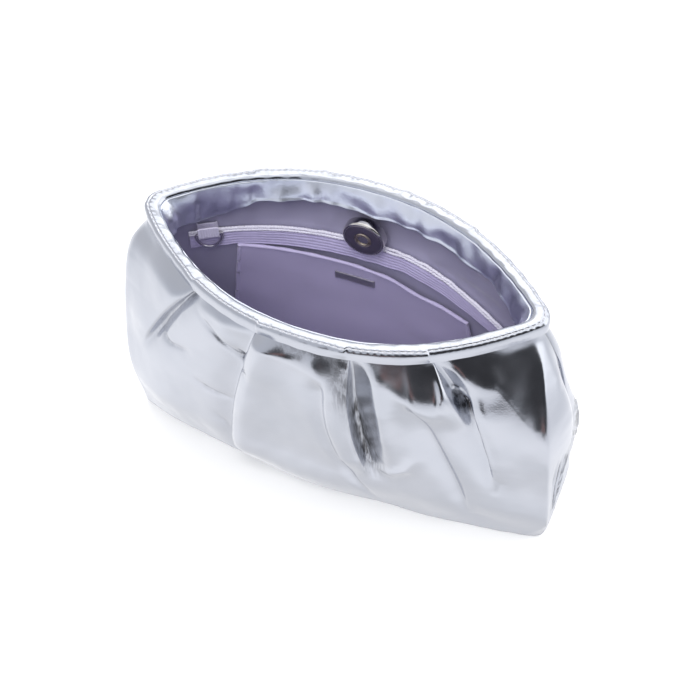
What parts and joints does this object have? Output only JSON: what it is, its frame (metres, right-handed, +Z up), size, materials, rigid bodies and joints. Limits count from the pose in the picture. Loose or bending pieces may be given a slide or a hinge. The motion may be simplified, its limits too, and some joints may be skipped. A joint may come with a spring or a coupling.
{
  "type": "evening clutch",
  "caption": "Small gathered evening clutch of silver leather with a lens-shaped open mouth, padded edge, lilac lining, inner pocket and magnetic snap.",
  "frame": {"origin": "centre of the base's underside, on the surface that the clutch stands on", "axes": "+X along the clutch to its right end, +Y from the front to the back, +Z up"},
  "size_m": [0.2125, 0.0947, 0.14],
  "materials": {
    "silver_leather": "metallic foil, near mirror, with soft creases",
    "lilac_satin": "satin with a soft sheen",
    "lilac_ribbon": "ribbed grosgrain",
    "light_cord": "thin piping cord",
    "snap_metal": "polished dark nickel",
    "plate_metal": "brushed, bare"
  },
  "bodies": {
    "root": {"front_panel": "silver_leather", "back_panel": "silver_leather", "left_gusset": "silver_leather", "right_gusset": "silver_leather", "base_panel": "silver_leather", "rim_band": "silver_leather", "facing": "silver_leather", "lining": "lilac_satin", "slip_pocket": "lilac_satin", "pocket_ribbon": "lilac_ribbon", "ring_tab": "lilac_ribbon", "ribbon_cord_lower": "light_cord", "ribbon_cord_upper": "light_cord", "snap_socket": "snap_metal", "snap_post": "snap_metal", "d_ring": "snap_metal", "blank_plate": "plate_metal"}
  },
  "joints": []
}
